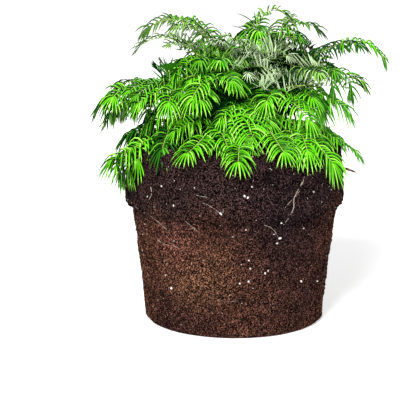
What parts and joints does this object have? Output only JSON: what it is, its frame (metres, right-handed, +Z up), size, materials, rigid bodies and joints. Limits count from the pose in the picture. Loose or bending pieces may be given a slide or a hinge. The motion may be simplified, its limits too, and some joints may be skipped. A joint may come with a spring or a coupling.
{
  "type": "shrub on its root ball",
  "caption": "Young spreading plum yew standing on its bare pot-shaped root ball, with boughs and needled sprays.",
  "frame": {"origin": "centre of the root ball's flat underside", "axes": "+Z up along the root ball's axis; -Y is the plant's front, +X its right-hand side seen from the front"},
  "size_m": [0.3758, 0.3196, 0.3981],
  "materials": {
    "soil": "matt, fibrous",
    "bark": "matt, rough",
    "needles": "satin"
  },
  "bodies": {
    "root": {"root_ball": "soil", "broken_root": "bark", "trunk": "bark", "bough_crown": "bark", "bough_top_left": "bark", "bough_upper_left": "bark", "bough_high_left": "bark", "bough_high_front": "bark", "bough_heart_front": "bark", "bough_heart_right": "bark", "bough_top_right": "bark", "bough_far_right": "bark", "bough_right_middle": "bark", "bough_right_low": "bark", "bough_rim_right": "bark", "bough_rim_front_right": "bark", "bough_front_right": "bark", "bough_front_low_right": "bark", "bough_front_centre": "bark", "bough_front_low": "bark", "bough_front_left": "bark", "bough_left_shoulder": "bark", "bough_rim_left": "bark", "bough_low_left": "bark", "bough_far_left": "bark", "bough_back_left": "bark", "bough_rim_back_left": "bark", "bough_high_back": "bark", "bough_back": "bark", "bough_rim_back": "bark", "bough_back_right": "bark", "needles_crown": "needles", "needles_top_left": "needles", "needles_upper_left": "needles", "needles_high_left": "needles", "needles_high_front": "needles", "needles_heart_front": "needles", "needles_heart_right": "needles", "needles_top_right": "needles", "needles_far_right": "needles", "needles_right_middle": "needles", "needles_right_low": "needles", "needles_rim_right": "needles", "needles_rim_front_right": "needles", "needles_front_right": "needles", "needles_front_low_right": "needles", "needles_front_centre": "needles", "needles_front_low": "needles", "needles_front_left": "needles", "needles_left_shoulder": "needles", "needles_rim_left": "needles", "needles_low_left": "needles", "needles_far_left": "needles", "needles_back_left": "needles", "needles_rim_back_left": "needles", "needles_high_back": "needles", "needles_back": "needles", "needles_rim_back": "needles", "needles_back_right": "needles"}
  },
  "joints": []
}
